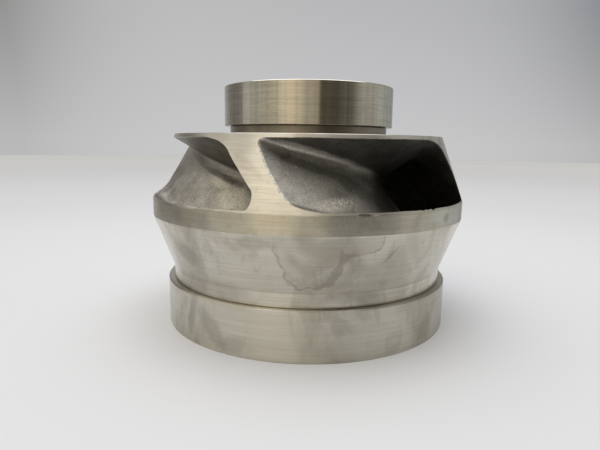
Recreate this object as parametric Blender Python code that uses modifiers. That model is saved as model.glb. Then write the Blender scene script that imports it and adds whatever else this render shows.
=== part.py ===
# Closed mixed-flow pump impeller, standing on its suction ring with the driven side up.
# One casting carries the hub, both shrouds and four vanes; a wear ring is pressed on each end.
# Metres, +Z up, origin on the shaft axis at the lowest face.
import math

import bmesh
import bpy
from mathutils import Vector

MM = 0.001

# Clearance that keeps the pressed rings off the casting's faces
SEAT_GAP = 0.3 * MM

# Outer form that the lathe leaves, from the top face of the back shroud down
BAND_RADIUS = 100.0 * MM
BAND_TOP = 79.14 * MM
BAND_BOTTOM = 68.75 * MM
RIM_RADIUS = 85.81 * MM
RIM_TOP = 118.24 * MM
RIM_LIP = 2.1 * MM
FRONT_NECK_RADIUS = 88.03 * MM
FRONT_NECK_TOP = 36.5 * MM
BACK_NECK_RADIUS = 51.0 * MM

# Suction wear ring, the foot that the impeller stands on
FRONT_RING_RADIUS = 91.63 * MM
FRONT_RING_BORE = 84.3 * MM
FRONT_RING_HEIGHT = 28.67 * MM
FRONT_RING_CHAMFER = 1.0 * MM

# Back wear ring
BACK_RING_RADIUS = 54.53 * MM
BACK_RING_BORE = 47.3 * MM
BACK_RING_BOTTOM = 123.72 * MM
BACK_RING_TOP = 147.95 * MM
BACK_RING_CHAMFER = 0.6 * MM

# Spigots that carry the rings end a little short of the rings' faces
SPIGOT_SHORT = 1.5 * MM
FRONT_SPIGOT_LIP = 80.0 * MM

# Hub: shaft bore with one keyway, boss, cored pocket round the boss, nose in the eye
BORE_RADIUS = 17.0 * MM
KEYWAY_WIDTH = 10.0 * MM
KEYWAY_DEPTH = 3.3 * MM
BOSS_RADIUS = 25.0 * MM
BOSS_TOP = 128.0 * MM
POCKET_RADIUS = 39.0 * MM
POCKET_FLOOR = 93.0 * MM
POCKET_DRAFT = 1.5 * MM
POCKET_FILLET = 4.0 * MM
NOSE_BOTTOM = 30.0 * MM
NOSE_CHAMFER = 2.0 * MM
EYE_SKIM = 0.4 * MM
EYE_FLARE_TOP = 26.0 * MM
BALANCE_HOLE_RADIUS = 4.5 * MM
BALANCE_HOLE_CIRCLE = 32.5 * MM
BALANCE_HOLE_COUNT = 4
BALANCE_HOLE_SIDES = 16

# Water passages, seen in the meridian plane as two curves of radius and height
PASSAGE_FLOOR_EDGE = 80.3 * MM
HUB_SLOPE = math.radians(30.0)
HUB_REACH = 50.0 * MM
HUB_NOSE_RADIUS = 25.0 * MM
HUB_NOSE_KNEE = 74.0 * MM
HUB_NOSE_END = 34.0 * MM
SHROUD_SLOPE = math.radians(43.0)
SHROUD_REACH = 21.0 * MM
EYE_RADIUS = 77.0 * MM
EYE_KNEE = 56.0 * MM
EYE_END = 34.0 * MM

# Vanes: where each curve meets the leading edge, and the wrap of the vane along it in degrees,
# as a start and the factors of t, its square and its cube
VANE_COUNT = 4
LEADING_EDGE_HUB = 0.60
LEADING_EDGE_SHROUD = 0.80
HUB_WRAP = (-17.5, 100.0, 560.0, -585.0)
SHROUD_WRAP = (-3.5, 91.0, 28.0, 0.0)
VANE_THICKNESS = 6.5 * MM
TIP_EXTRA_HUB = 7.5 * MM
TIP_EXTRA_SHROUD = -1.5 * MM
TIP_EXTRA_LENGTH = 0.3
EDGE_THICKNESS = 2.5 * MM
EDGE_TAPER_START = 0.82

# Corner radii of a passage as (along the rim, across the rim), at its outlet and further in,
# and the stretch over which each changes from the one to the other
OUTLET_CORNERS = {
    "pressure_hub": (5.0 * MM, 3.0 * MM),
    "suction_hub": (16.5 * MM, 7.0 * MM),
    "suction_shroud": (10.0 * MM, 17.0 * MM),
    "pressure_shroud": (17.0 * MM, 7.0 * MM),
}
INNER_CORNERS = {
    "pressure_hub": (12.0 * MM, 6.5 * MM),
    "suction_hub": (12.0 * MM, 6.0 * MM),
    "suction_shroud": (12.0 * MM, 6.0 * MM),
    "pressure_shroud": (12.0 * MM, 6.0 * MM),
}
CORNER_CHANGE = {
    "pressure_hub": (0.0, 0.2),
    "suction_hub": (0.08, 0.35),
    "suction_shroud": (0.08, 0.35),
    "pressure_shroud": (0.08, 0.35),
}

# Fineness of the turned and the lofted faces
TURN_STEPS = 72
CURVE_STEPS = 5
PASSAGE_STEPS = 10
ARC_STEPS = 12
SIDE_STEPS = 4
CORNER_STEPS = 3
CORE_OVERRUN = 0.14
MOUTH_STATION = -0.03
FIRST_STATION = 0.07
CORE_INSET = 0.06


def clear_scene():
    for obj in list(bpy.data.objects):
        bpy.data.objects.remove(obj, do_unlink=True)


def new_collection(name):
    collection = bpy.data.collections.new(name)
    bpy.context.scene.collection.children.link(collection)
    return collection


def steel(name, colour, roughness):
    material = bpy.data.materials.new(name)
    material.use_nodes = True
    shader = material.node_tree.nodes["Principled BSDF"]
    shader.inputs["Base Color"].default_value = (*colour, 1.0)
    shader.inputs["Roughness"].default_value = roughness
    shader.inputs["Metallic"].default_value = 1.0
    return material


def mark_cutter(obj):
    obj.hide_render = True
    obj.display_type = "WIRE"


def bezier(points, t):
    """Point of a cubic curve in (radius, height), run on straight before its start."""
    p0, p1, p2, p3 = points
    if t < 0.0:
        return (p0[0] + 3.0 * t * (p1[0] - p0[0]), p0[1] + 3.0 * t * (p1[1] - p0[1]))
    s = 1.0 - t
    weights = (s * s * s, 3.0 * s * s * t, 3.0 * s * t * t, t * t * t)
    radius = sum(w * p[0] for w, p in zip(weights, points))
    height = sum(w * p[1] for w, p in zip(weights, points))
    return (radius, height)


def cone_radius(height):
    """Radius of the turned cone that the vane tips end on."""
    share = (RIM_TOP - height) / (RIM_TOP - BAND_TOP)
    return RIM_RADIUS + share * (BAND_RADIUS - RIM_RADIUS)


def hub_curve():
    start = (cone_radius(RIM_TOP - RIM_LIP), RIM_TOP - RIM_LIP)
    knee = (start[0] - HUB_REACH * math.cos(HUB_SLOPE), start[1] - HUB_REACH * math.sin(HUB_SLOPE))
    return (start, knee, (HUB_NOSE_RADIUS, HUB_NOSE_KNEE), (HUB_NOSE_RADIUS, HUB_NOSE_END))


def shroud_curve():
    start = (cone_radius(PASSAGE_FLOOR_EDGE), PASSAGE_FLOOR_EDGE)
    knee = (
        start[0] - SHROUD_REACH * math.cos(SHROUD_SLOPE),
        start[1] - SHROUD_REACH * math.sin(SHROUD_SLOPE),
    )
    return (start, knee, (EYE_RADIUS, EYE_KNEE), (EYE_RADIUS, EYE_END))


def turned(name, profile, collection):
    """Body turned about Z from a closed profile that runs down its outer side."""
    mesh = bpy.data.meshes.new(name)
    count = len(profile)
    vertices = [(radius, 0.0, height) for radius, height in profile]
    edges = [(i, (i + 1) % count) for i in range(count)]
    mesh.from_pydata(vertices, edges, [])
    obj = bpy.data.objects.new(name, mesh)
    collection.objects.link(obj)
    screw = obj.modifiers.new("turn", "SCREW")
    screw.axis = "Z"
    screw.angle = 2.0 * math.pi
    screw.steps = TURN_STEPS
    screw.render_steps = TURN_STEPS
    screw.use_merge_vertices = True
    screw.merge_threshold = 0.00001
    screw.use_smooth_shade = False
    return obj


def fillet(corner, start, end, radius):
    """Three points that round an inner corner of the pocket between two directions."""
    a = Vector(start) * radius
    b = Vector(end) * radius
    c = Vector(corner)
    middle = c + (a + b) * (1.0 - math.sqrt(0.5))
    return [tuple(c + a), tuple(middle), tuple(c + b)]


def casting_profile():
    hub = hub_curve()
    shroud = shroud_curve()
    front_seat = FRONT_RING_BORE - SEAT_GAP
    back_seat = BACK_RING_BORE - SEAT_GAP
    back_top = BACK_RING_TOP - SPIGOT_SHORT
    front_ledge = FRONT_RING_HEIGHT + SEAT_GAP
    back_ledge = BACK_RING_BOTTOM - SEAT_GAP

    outside = [
        (back_seat, back_top),
        (back_seat, back_ledge),
        (BACK_NECK_RADIUS, back_ledge),
        (BACK_NECK_RADIUS, RIM_TOP),
        (RIM_RADIUS, RIM_TOP),
        (BAND_RADIUS, BAND_TOP),
        (BAND_RADIUS, BAND_BOTTOM),
        (FRONT_NECK_RADIUS, FRONT_NECK_TOP),
        (FRONT_NECK_RADIUS, front_ledge),
        (front_seat, front_ledge),
        (front_seat, SPIGOT_SHORT),
        (FRONT_SPIGOT_LIP, SPIGOT_SHORT),
    ]
    eye = [(EYE_RADIUS + EYE_SKIM, EYE_FLARE_TOP)]
    for i in range(CURVE_STEPS + 1):
        t = 1.0 + (LEADING_EDGE_SHROUD - 1.0) * i / CURVE_STEPS
        radius, height = bezier(shroud, t)
        eye.append((radius + EYE_SKIM, height))
    nose = []
    for i in range(CURVE_STEPS + 1):
        t = LEADING_EDGE_HUB + (1.0 - LEADING_EDGE_HUB) * i / CURVE_STEPS
        radius, height = bezier(hub, t)
        nose.append((radius - EYE_SKIM, height))
    nose_radius = HUB_NOSE_RADIUS - EYE_SKIM
    nose.append((nose_radius, NOSE_BOTTOM + NOSE_CHAMFER))
    nose.append((nose_radius - NOSE_CHAMFER, NOSE_BOTTOM))
    bore = [(BORE_RADIUS, NOSE_BOTTOM), (BORE_RADIUS, BOSS_TOP)]
    boss_foot = (BOSS_RADIUS + POCKET_DRAFT, POCKET_FLOOR)
    pocket_foot = (POCKET_RADIUS - POCKET_DRAFT, POCKET_FLOOR)
    pocket = [(BOSS_RADIUS, BOSS_TOP)]
    pocket += fillet(boss_foot, (0.0, 1.0), (1.0, 0.0), POCKET_FILLET)
    pocket += fillet(pocket_foot, (-1.0, 0.0), (0.0, 1.0), POCKET_FILLET)
    pocket.append((POCKET_RADIUS, back_top))
    return outside + eye + nose + bore + pocket


def ring_profile(outer, bore, bottom, top, chamfer):
    return [
        (bore, top),
        (outer - chamfer, top),
        (outer, top - chamfer),
        (outer, bottom),
        (bore, bottom),
    ]


def wrap_angle(wrap, t):
    """Angle of the vane's pressure face, anticlockwise from -Y as seen from above."""
    start, rate, growth, easing = wrap
    if t < 0.0:
        return math.radians(start + rate * t)
    return math.radians(start + rate * t + growth * t * t + easing * t * t * t)


def vane_thickness(u, tip_extra):
    """Thickness square to the vane, from its tip (0) to its leading edge (1)."""
    thickness = VANE_THICKNESS
    if u < TIP_EXTRA_LENGTH:
        thickness += tip_extra * (1.0 - max(u, 0.0) / TIP_EXTRA_LENGTH)
    if u > EDGE_TAPER_START:
        share = min((u - EDGE_TAPER_START) / (1.0 - EDGE_TAPER_START), 1.0)
        thickness = EDGE_THICKNESS + (thickness - EDGE_THICKNESS) * math.sqrt(1.0 - share * share)
    return thickness


def vane_width(curve, wrap, t, u, tip_extra):
    """Angle that the vane takes up round the axis at one place on a curve."""
    step = 0.01
    r0, z0 = bezier(curve, t)
    r1, z1 = bezier(curve, t + step)
    along = math.hypot(r1 - r0, z1 - z0)
    around = 0.5 * (r0 + r1) * (wrap_angle(wrap, t + step) - wrap_angle(wrap, t))
    slant = math.atan2(along, around)
    return vane_thickness(u, tip_extra) / (r0 * math.sin(slant))


def corner_sizes(u):
    """Corner radii at one station, which change from the outlet's to the inner ones."""
    sizes = {}
    for name, (along, across) in OUTLET_CORNERS.items():
        change_start, change_end = CORNER_CHANGE[name]
        inner_along, inner_across = INNER_CORNERS[name]
        share = (u - change_start) / (change_end - change_start)
        share = min(max(share, 0.0), 1.0)
        sizes[name] = (along + share * (inner_along - along), across + share * (inner_across - across))
    return sizes


def line_points(start, end, steps):
    """Points between two corners, without the two ends."""
    points = []
    for i in range(1, steps):
        share = i / steps
        points.append((start[0] + share * (end[0] - start[0]), start[1] + share * (end[1] - start[1])))
    return points


def corner_points(centre, first, second):
    """Quarter of an ellipse about its centre, from one half axis to the other."""
    points = []
    for i in range(CORNER_STEPS + 1):
        angle = 0.5 * math.pi * i / CORNER_STEPS
        a = math.cos(angle)
        b = math.sin(angle)
        points.append((centre[0] + a * first[0] + b * second[0], centre[1] + a * first[1] + b * second[1]))
    return points


def section_outline(width, height, sizes):
    """Round-cornered outline, 0 to 1 from pressure to suction face and from hub to shroud."""
    corner = {name: (along / width, across / height) for name, (along, across) in sizes.items()}
    ph = corner["pressure_hub"]
    sh = corner["suction_hub"]
    ss = corner["suction_shroud"]
    ps = corner["pressure_shroud"]
    outline = line_points((0.0, 0.5), (0.0, ph[1]), SIDE_STEPS // 2)
    outline.insert(0, (0.0, 0.5))
    outline += corner_points((ph[0], ph[1]), (-ph[0], 0.0), (0.0, -ph[1]))
    outline += line_points((ph[0], 0.0), (1.0 - sh[0], 0.0), ARC_STEPS)
    outline += corner_points((1.0 - sh[0], sh[1]), (0.0, -sh[1]), (sh[0], 0.0))
    outline += line_points((1.0, sh[1]), (1.0, 0.5), SIDE_STEPS // 2)
    outline.append((1.0, 0.5))
    outline += line_points((1.0, 0.5), (1.0, 1.0 - ss[1]), SIDE_STEPS // 2)
    outline += corner_points((1.0 - ss[0], 1.0 - ss[1]), (ss[0], 0.0), (0.0, ss[1]))
    outline += line_points((1.0 - ss[0], 1.0), (ps[0], 1.0), ARC_STEPS)
    outline += corner_points((ps[0], 1.0 - ps[1]), (0.0, ps[1]), (-ps[0], 0.0))
    outline += line_points((0.0, 1.0 - ps[1]), (0.0, 0.5), SIDE_STEPS // 2)
    return outline


def passage_section(u, inset):
    """One station of a passage: u runs from the rim (0) to the leading edge (1)."""
    hub = hub_curve()
    shroud = shroud_curve()
    t_hub = u * LEADING_EDGE_HUB
    t_shroud = u * LEADING_EDGE_SHROUD
    hub_point = bezier(hub, t_hub)
    shroud_point = bezier(shroud, t_shroud)
    pitch = 2.0 * math.pi / VANE_COUNT
    hub_start = wrap_angle(HUB_WRAP, t_hub)
    shroud_start = wrap_angle(SHROUD_WRAP, t_shroud)
    hub_span = pitch - vane_width(hub, HUB_WRAP, t_hub, u, TIP_EXTRA_HUB)
    shroud_span = pitch - vane_width(shroud, SHROUD_WRAP, t_shroud, u, TIP_EXTRA_SHROUD)
    width = 0.5 * (hub_point[0] * hub_span + shroud_point[0] * shroud_span)
    height = math.hypot(shroud_point[0] - hub_point[0], shroud_point[1] - hub_point[1])
    points = []
    for p, q in section_outline(width, height, corner_sizes(u)):
        q = inset + q * (1.0 - 2.0 * inset)
        radius = hub_point[0] + q * (shroud_point[0] - hub_point[0])
        z = hub_point[1] + q * (shroud_point[1] - hub_point[1])
        start = hub_start + q * (shroud_start - hub_start)
        span = hub_span + q * (shroud_span - hub_span)
        angle = start + p * span
        points.append(Vector((radius * math.sin(angle), -radius * math.cos(angle), z)))
    return points


def cap(bm, ring):
    """Close one end of the core with a strip from its hub side to its shroud side."""
    half = len(ring) // 2
    bm.faces.new((ring[0], ring[1], ring[-1]))
    for i in range(1, half - 1):
        bm.faces.new((ring[i], ring[i + 1], ring[-i - 1], ring[-i]))
    bm.faces.new((ring[half - 1], ring[half], ring[half + 1]))


def passage_core_mesh():
    """Sand core of one passage, lofted from outside the rim to inside the eye."""
    stations = [(-CORE_OVERRUN, 0.0), (MOUTH_STATION, 0.0)]
    for i in range(PASSAGE_STEPS + 1):
        stations.append((FIRST_STATION + (1.0 - FIRST_STATION) * i / PASSAGE_STEPS, 0.0))
    stations.append((1.0 + CORE_OVERRUN, CORE_INSET))
    bm = bmesh.new()
    rings = [[bm.verts.new(point) for point in passage_section(u, inset)] for u, inset in stations]
    count = len(rings[0])
    for outer, inner in zip(rings, rings[1:]):
        for i in range(count):
            j = (i + 1) % count
            bm.faces.new((outer[i], outer[j], inner[j], inner[i]))
    cap(bm, rings[0])
    cap(bm, rings[-1])
    bmesh.ops.recalc_face_normals(bm, faces=bm.faces)
    bmesh.ops.triangulate(bm, faces=bm.faces)
    mesh = bpy.data.meshes.new("passage_core")
    bm.to_mesh(mesh)
    bm.free()
    return mesh


def cut(obj, cutter):
    boolean = obj.modifiers.new("cut_" + cutter.name, "BOOLEAN")
    boolean.operation = "DIFFERENCE"
    boolean.solver = "EXACT"
    boolean.object = cutter


def take_into(obj, name, collection):
    obj.name = name
    for owner in list(obj.users_collection):
        owner.objects.unlink(obj)
    collection.objects.link(obj)


def build():
    clear_scene()
    parts = new_collection("impeller")
    cutters = new_collection("cutters")

    casting = turned("impeller_casting", casting_profile(), parts)
    casting.data.materials.append(steel("cast_stainless", (0.42, 0.40, 0.37), 0.38))

    core_mesh = passage_core_mesh()
    for i in range(VANE_COUNT):
        core = bpy.data.objects.new(f"passage_core_{i + 1}", core_mesh)
        core.rotation_euler.z = 2.0 * math.pi * i / VANE_COUNT
        cutters.objects.link(core)
        mark_cutter(core)
        cut(casting, core)

    keyway_depth = BORE_RADIUS + KEYWAY_DEPTH
    keyway_height = BOSS_TOP - NOSE_BOTTOM + 2.0 * NOSE_CHAMFER
    bpy.ops.mesh.primitive_cube_add(size=1.0)
    keyway = bpy.context.active_object
    keyway.scale = (keyway_depth, KEYWAY_WIDTH, keyway_height)
    keyway.location = (0.5 * keyway_depth, 0.0, 0.5 * (BOSS_TOP + NOSE_BOTTOM))
    take_into(keyway, "keyway", cutters)
    mark_cutter(keyway)
    cut(casting, keyway)

    hole_bottom = NOSE_BOTTOM
    hole_top = POCKET_FLOOR + POCKET_FILLET
    for i in range(BALANCE_HOLE_COUNT):
        angle = 2.0 * math.pi * (i + 0.5) / BALANCE_HOLE_COUNT
        x = BALANCE_HOLE_CIRCLE * math.cos(angle)
        y = BALANCE_HOLE_CIRCLE * math.sin(angle)
        bpy.ops.mesh.primitive_cylinder_add(
            vertices=BALANCE_HOLE_SIDES,
            radius=BALANCE_HOLE_RADIUS,
            depth=hole_top - hole_bottom,
            location=(x, y, 0.5 * (hole_top + hole_bottom)),
            rotation=(0.0, 0.0, math.pi / BALANCE_HOLE_SIDES),
        )
        hole = bpy.context.active_object
        take_into(hole, f"balance_hole_{i + 1}", cutters)
        mark_cutter(hole)
        cut(casting, hole)

    front_ring = turned(
        "front_wear_ring",
        ring_profile(FRONT_RING_RADIUS, FRONT_RING_BORE, 0.0, FRONT_RING_HEIGHT, FRONT_RING_CHAMFER),
        parts,
    )
    front_ring.data.materials.append(steel("front_ring_stainless", (0.46, 0.44, 0.41), 0.33))

    back_ring = turned(
        "back_wear_ring",
        ring_profile(BACK_RING_RADIUS, BACK_RING_BORE, BACK_RING_BOTTOM, BACK_RING_TOP, BACK_RING_CHAMFER),
        parts,
    )
    back_ring.data.materials.append(steel("back_ring_stainless", (0.50, 0.48, 0.45), 0.30))


build()
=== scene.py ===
import math

import bmesh
import bpy
import numpy as np
from mathutils import Matrix, Vector, noise


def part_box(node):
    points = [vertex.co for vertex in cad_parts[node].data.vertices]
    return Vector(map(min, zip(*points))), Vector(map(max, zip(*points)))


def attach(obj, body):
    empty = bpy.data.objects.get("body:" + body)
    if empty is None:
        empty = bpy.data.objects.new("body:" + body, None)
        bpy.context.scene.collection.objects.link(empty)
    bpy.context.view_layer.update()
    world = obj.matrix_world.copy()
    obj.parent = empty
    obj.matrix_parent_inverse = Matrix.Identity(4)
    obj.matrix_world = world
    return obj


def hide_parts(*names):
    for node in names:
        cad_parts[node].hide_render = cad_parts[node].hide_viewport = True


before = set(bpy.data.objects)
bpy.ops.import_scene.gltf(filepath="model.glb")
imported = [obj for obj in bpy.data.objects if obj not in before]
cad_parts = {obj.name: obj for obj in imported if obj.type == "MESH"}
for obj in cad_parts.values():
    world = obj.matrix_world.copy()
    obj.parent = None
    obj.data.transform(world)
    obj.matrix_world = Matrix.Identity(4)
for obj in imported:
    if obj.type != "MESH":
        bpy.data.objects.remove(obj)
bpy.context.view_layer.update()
mm = 0.001


# Camera. A compact camera held about a third of a metre away, a little below the level of the
# impeller's top, looking slightly down at it. Its lens sees 31.5 degrees to each side.
def put_in_scene(name, data):
    """An object that stands in the scene for a camera, a lamp or a mesh."""
    obj = bpy.data.objects.new(name, data)
    bpy.context.scene.collection.objects.link(obj)
    return obj


camera_distance = 330.45 * mm
camera_height = 113.1 * mm
camera_pitch = math.radians(9.438)
camera_turn = math.radians(0.787)
camera_roll = math.radians(0.795)
camera_lens = 29.357

camera = bpy.data.cameras.new("photo_camera")
camera.lens = camera_lens
camera.clip_start = 0.01
camera_stand = put_in_scene("photo_camera", camera)
camera_stand.matrix_world = (
    Matrix.Translation((0.0, -camera_distance, camera_height))
    @ Matrix.Rotation(camera_turn, 4, "Z")
    @ Matrix.Rotation(math.pi / 2 - camera_pitch, 4, "X")
    @ Matrix.Rotation(camera_roll, 4, "Z")
)
bpy.context.scene.camera = camera_stand
bpy.context.scene.view_settings.view_transform = "Standard"


# Floor. A wide sheet of matt white board that the impeller stands on, with painted light in its tone.
# It is only studio. Its far part doesn't show in the polished metal.
def place(tree, kind, inputs=None, **settings):
    """Put a node in a tree, set it up, and feed its inputs with values or other outputs."""
    made = tree.nodes.new(kind)
    for name, value in settings.items():
        setattr(made, name, value)
    for key, value in (inputs or {}).items():
        if isinstance(value, bpy.types.NodeSocket):
            tree.links.new(value, made.inputs[key])
        else:
            made.inputs[key].default_value = value
    return made


def reckon(tree, operation, *values):
    """Output of a Math node that works on numbers or other outputs."""
    return place(tree, "ShaderNodeMath", dict(enumerate(values)), operation=operation).outputs[0]


def ramp(tree, value, stops):
    """Colour ramp over a value, from (position, colour) stops."""
    made = place(tree, "ShaderNodeValToRGB", {"Fac": value})
    elements = made.color_ramp.elements
    while len(elements) < len(stops):
        elements.new(0.5)
    for element, (position, colour) in zip(elements, stops):
        element.position = position
        element.color = (*colour, 1.0)
    return made.outputs["Color"]


def new_material(name):
    """A new material, with its node tree and its shader."""
    material = bpy.data.materials.new(name)
    material.use_nodes = True
    return material, material.node_tree, material.node_tree.nodes["Principled BSDF"]


def finished_body(name, bm):
    """Turn a mesh that has been built up into an object."""
    mesh = bpy.data.meshes.new(name)
    bm.to_mesh(mesh)
    bm.free()
    return put_in_scene(name, mesh)


def spot_in(tree):
    """Where a point lies on its object."""
    return place(tree, "ShaderNodeTexCoord").outputs["Object"]


def on_circle(radius, angle, height):
    """Point at an angle round the upright axis."""
    return (radius * math.cos(angle), radius * math.sin(angle), height)


floor_reach = 4.0
board_reach = 0.36
floor_steps = 96
fade_end = 2.6
# The board's tone is painted light: lighter close round the impeller to thin its shadow, a little darker
# beyond, and lighter again far off where it meets the backdrop.
floor_painted_light = [
    (0.05, (0.715, 0.73, 0.775)),
    (0.26, (0.665, 0.68, 0.72)),
    (0.52, (0.74, 0.755, 0.81)),
    (1.0, (0.90, 0.92, 0.97)),
]

floor_paint, tree, shader = new_material("matt_white_board")
distance = place(tree, "ShaderNodeVectorMath", {0: spot_in(tree)}, operation="LENGTH").outputs["Value"]
painted_floor_tone = ramp(tree, reckon(tree, "DIVIDE", distance, fade_end), floor_painted_light)
tree.links.new(painted_floor_tone, shader.inputs["Base Color"])
shader.inputs["Roughness"].default_value = 0.9
shader.inputs["Specular IOR Level"].default_value = 0.1


def floor_ring(name, inner, outer):
    """A flat ring of board round the impeller, or a disc where inner is 0."""
    bm = bmesh.new()
    edges = []
    for radius in (inner, outer):
        if radius > 0.0:
            angles = [2 * math.pi * i / floor_steps for i in range(floor_steps)]
            edges.append([bm.verts.new(on_circle(radius, angle, 0.0)) for angle in angles])
    if len(edges) == 1:
        bm.faces.new(edges[0])
    else:
        for i in range(floor_steps):
            j = (i + 1) % floor_steps
            bm.faces.new((edges[0][i], edges[1][i], edges[1][j], edges[0][j]))
    obj = finished_body(name, bm)
    obj.data.materials.append(floor_paint)
    return obj


floor_ring("studio_floor", 0.0, board_reach)
far_floor = floor_ring("studio_floor_far", board_reach, floor_reach)
far_floor.visible_glossy = False


# Studio light. A pale room all round, brighter near the table than overhead, warm in front on the
# left and cooler on the right and behind, with a large soft box above. Stops are (degrees, colour).
def times(tree, *values):
    """Product of two or more numbers or outputs."""
    product = values[0]
    for value in values[1:]:
        product = reckon(tree, "MULTIPLY", product, value)
    return product


def fade(tree, value, full, none, strength=1.0):
    """Full strength where a value reaches full, softly down to nothing where it reaches none."""
    return place(
        tree,
        "ShaderNodeMapRange",
        {"Value": value, "From Min": none, "From Max": full, "To Max": strength},
        interpolation_type="SMOOTHSTEP",
    ).outputs[0]


def split(tree, vector):
    """The X, Y and Z of a place or a direction."""
    return place(tree, "ShaderNodeSeparateXYZ", {0: vector}).outputs


def scaled(tree, colour, share):
    """A colour made stronger or weaker."""
    return place(tree, "ShaderNodeVectorMath", {0: colour, "Scale": share}, operation="SCALE").outputs[0]


def mixed(tree, share, below, above):
    """One colour laid over another, not at all at 0 and wholly at 1."""
    below, above = [(*tone, 1.0) if isinstance(tone, tuple) else tone for tone in (below, above)]
    return place(tree, "ShaderNodeMix", {"Factor": share, 6: below, 7: above}, data_type="RGBA").outputs[2]


low_bearings = [
    (-180, (0.34, 0.34, 0.34)),
    (-150, (0.33, 0.33, 0.32)),
    (-130, (0.21, 0.20, 0.18)),
    (-116, (0.175, 0.165, 0.15)),
    (-99, (0.20, 0.195, 0.175)),
    (-95, (0.40, 0.385, 0.35)),
    (-88, (0.42, 0.405, 0.355)),
    (-80, (0.355, 0.34, 0.295)),
    (-68, (0.345, 0.33, 0.285)),
    (-57, (0.42, 0.385, 0.30)),
    (-42, (0.44, 0.40, 0.305)),
    (-38, (0.58, 0.52, 0.395)),
    (-25, (0.71, 0.605, 0.45)),
    (-19, (0.68, 0.575, 0.42)),
    (-16, (0.53, 0.46, 0.34)),
    (-9, (0.54, 0.48, 0.35)),
    (-6, (0.43, 0.38, 0.285)),
    (1, (0.365, 0.32, 0.245)),
    (9, (0.33, 0.295, 0.225)),
    (12.5, (0.385, 0.34, 0.255)),
    (14.5, (0.085, 0.073, 0.053)),
    (38, (0.068, 0.062, 0.048)),
    (45, (0.105, 0.104, 0.08)),
    (56, (0.10, 0.096, 0.078)),
    (67, (0.24, 0.235, 0.20)),
    (75, (0.335, 0.325, 0.285)),
    (90, (0.33, 0.33, 0.29)),
    (110, (0.38, 0.39, 0.36)),
    (132, (0.30, 0.305, 0.295)),
    (150, (0.25, 0.26, 0.255)),
    (180, (0.34, 0.34, 0.34)),
]
high_bearings = [
    (-180, (0.34, 0.34, 0.34)),
    (-140, (0.46, 0.45, 0.43)),
    (-110, (1.0, 0.96, 0.88)),
    (-75, (1.15, 1.08, 0.95)),
    (-58, (0.80, 0.75, 0.65)),
    (-48, (1.12, 1.04, 0.87)),
    (-20, (1.14, 1.06, 0.88)),
    (-4, (0.68, 0.63, 0.52)),
    (14, (0.45, 0.41, 0.34)),
    (26, (0.20, 0.19, 0.16)),
    (68, (0.24, 0.23, 0.21)),
    (82, (0.56, 0.55, 0.52)),
    (98, (0.54, 0.53, 0.51)),
    (110, (0.30, 0.30, 0.29)),
    (128, (0.18, 0.18, 0.175)),
    (180, (0.34, 0.34, 0.34)),
]
ceiling = (0.23, 0.23, 0.23)
room_strength = 2.5

room = bpy.data.worlds.new("studio_room")
bpy.context.scene.world = room
room.use_nodes = True
room_tree = room.node_tree
compass = split(room_tree, place(room_tree, "ShaderNodeTexCoord").outputs["Generated"])
south = reckon(room_tree, "MULTIPLY", compass["Y"], -1.0)
bearing = reckon(room_tree, "ARCTAN2", compass["X"], south)
turn_share = reckon(room_tree, "MULTIPLY_ADD", bearing, 0.5 / math.pi, 0.5)


def wall_ramp(bearings):
    """Ramp round the room, at half strength so that no stop is brighter than white."""
    stops = []
    for angle, colour in bearings:
        stops.append(((angle + 180) / 360, [0.5 * part for part in colour]))
    return ramp(room_tree, turn_share, stops)


upright_edges = place(
    room_tree, "ShaderNodeTexNoise", {"W": bearing, "Scale": 16.0, "Detail": 3.0}, noise_dimensions="1D"
).outputs["Fac"]
low_walls = scaled(room_tree, wall_ramp(low_bearings), reckon(room_tree, "ADD", upright_edges, 0.5))
walls = mixed(room_tree, fade(room_tree, compass["Z"], 0.55, 0.30), low_walls, wall_ramp(high_bearings))
walls = mixed(room_tree, fade(room_tree, compass["Z"], 0.95, 0.75), walls, ceiling)

# The backdrop that shows directly is plain. It darkens upward, most of all towards its far corners.
backdrop_tones = [
    (0.0, (0.228, 0.228, 0.231)),
    (0.12, (0.212, 0.212, 0.216)),
    (0.26, (0.193, 0.193, 0.197)),
    (0.6, (0.17, 0.17, 0.17)),
]
shade_reach = 0.5
shade_curve = 4.5
shade_at_floor = 0.15
shade_by_height = 1.45
deepest_shade = 0.48
side_tint = (0.13, 0.115, 0.085)

raised = reckon(room_tree, "MAXIMUM", compass["Z"], 0.0)
sideways = reckon(room_tree, "ABSOLUTE", compass["X"])
far_side = fade(room_tree, compass["Y"], 0.4, 0.0)
to_corner = reckon(room_tree, "MINIMUM", reckon(room_tree, "DIVIDE", sideways, shade_reach), 1.0)
to_corner = reckon(room_tree, "POWER", to_corner, shade_curve)
depth = reckon(room_tree, "MULTIPLY_ADD", raised, shade_by_height, shade_at_floor)
depth = reckon(room_tree, "MINIMUM", depth, deepest_shade)
corner_shade = times(room_tree, to_corner, depth, fade(room_tree, sideways, 0.55, 1.0), far_side)
backdrop = ramp(room_tree, compass["Z"], backdrop_tones)
backdrop = scaled(room_tree, backdrop, reckon(room_tree, "SUBTRACT", 1.0, corner_shade))
side_fall = scaled(room_tree, side_tint, times(room_tree, compass["X"], far_side, raised))
backdrop = place(
    room_tree, "ShaderNodeVectorMath", {0: backdrop, 1: side_fall}, operation="SUBTRACT"
).outputs[0]
seen = place(room_tree, "ShaderNodeLightPath").outputs["Is Camera Ray"]
background = room_tree.nodes["Background"]
background.inputs["Strength"].default_value = room_strength
room_tree.links.new(mixed(room_tree, seen, walls, backdrop), background.inputs["Color"])

lamp = bpy.data.lights.new("overhead_box", "AREA")
lamp.shape = "RECTANGLE"
lamp.size = 1.6
lamp.size_y = 1.6
lamp.energy = 14.0
lamp.color = (1.0, 0.99, 0.97)
lamp_stand = put_in_scene("overhead_box", lamp)
lamp_stand.location = (0.0, 0.1, 1.4)
lamp_stand.rotation_euler = (Vector() - lamp_stand.location).to_track_quat("-Z", "Y").to_euler()


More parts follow.
